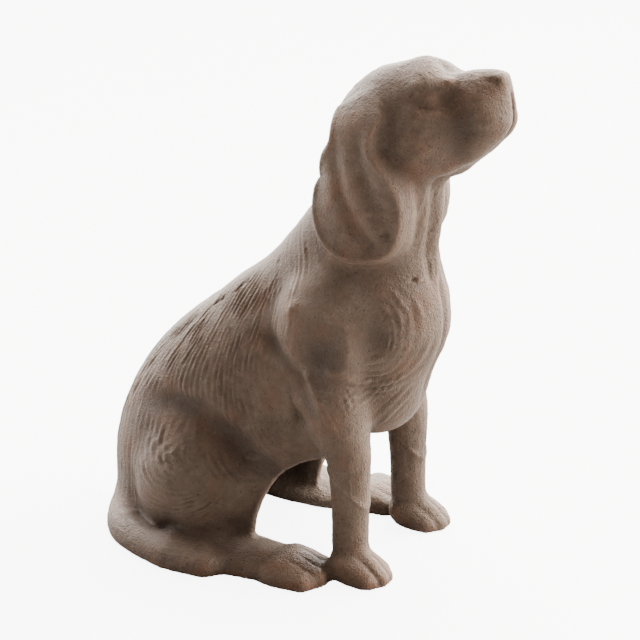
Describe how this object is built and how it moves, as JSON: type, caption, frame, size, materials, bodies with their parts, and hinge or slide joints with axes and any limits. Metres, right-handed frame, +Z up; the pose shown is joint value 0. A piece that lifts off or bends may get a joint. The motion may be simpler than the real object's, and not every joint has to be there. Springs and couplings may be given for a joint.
{
  "type": "cast iron dog statue",
  "caption": "Seated long-eared dog cast in iron in one piece, head raised, tail curled round the haunch, hollow and open underneath.",
  "frame": {"origin": "on the ground, under the middle of the figure's bounding box", "axes": "+Z up, +X the way the dog faces, +Y to its left"},
  "size_m": [0.3208, 0.2082, 0.381],
  "materials": {
    "iron": "matt, sandy as cast, with a brown rust patina and worn reddish edges"
  },
  "bodies": {
    "root": {"dog_casting": "iron"}
  },
  "joints": []
}
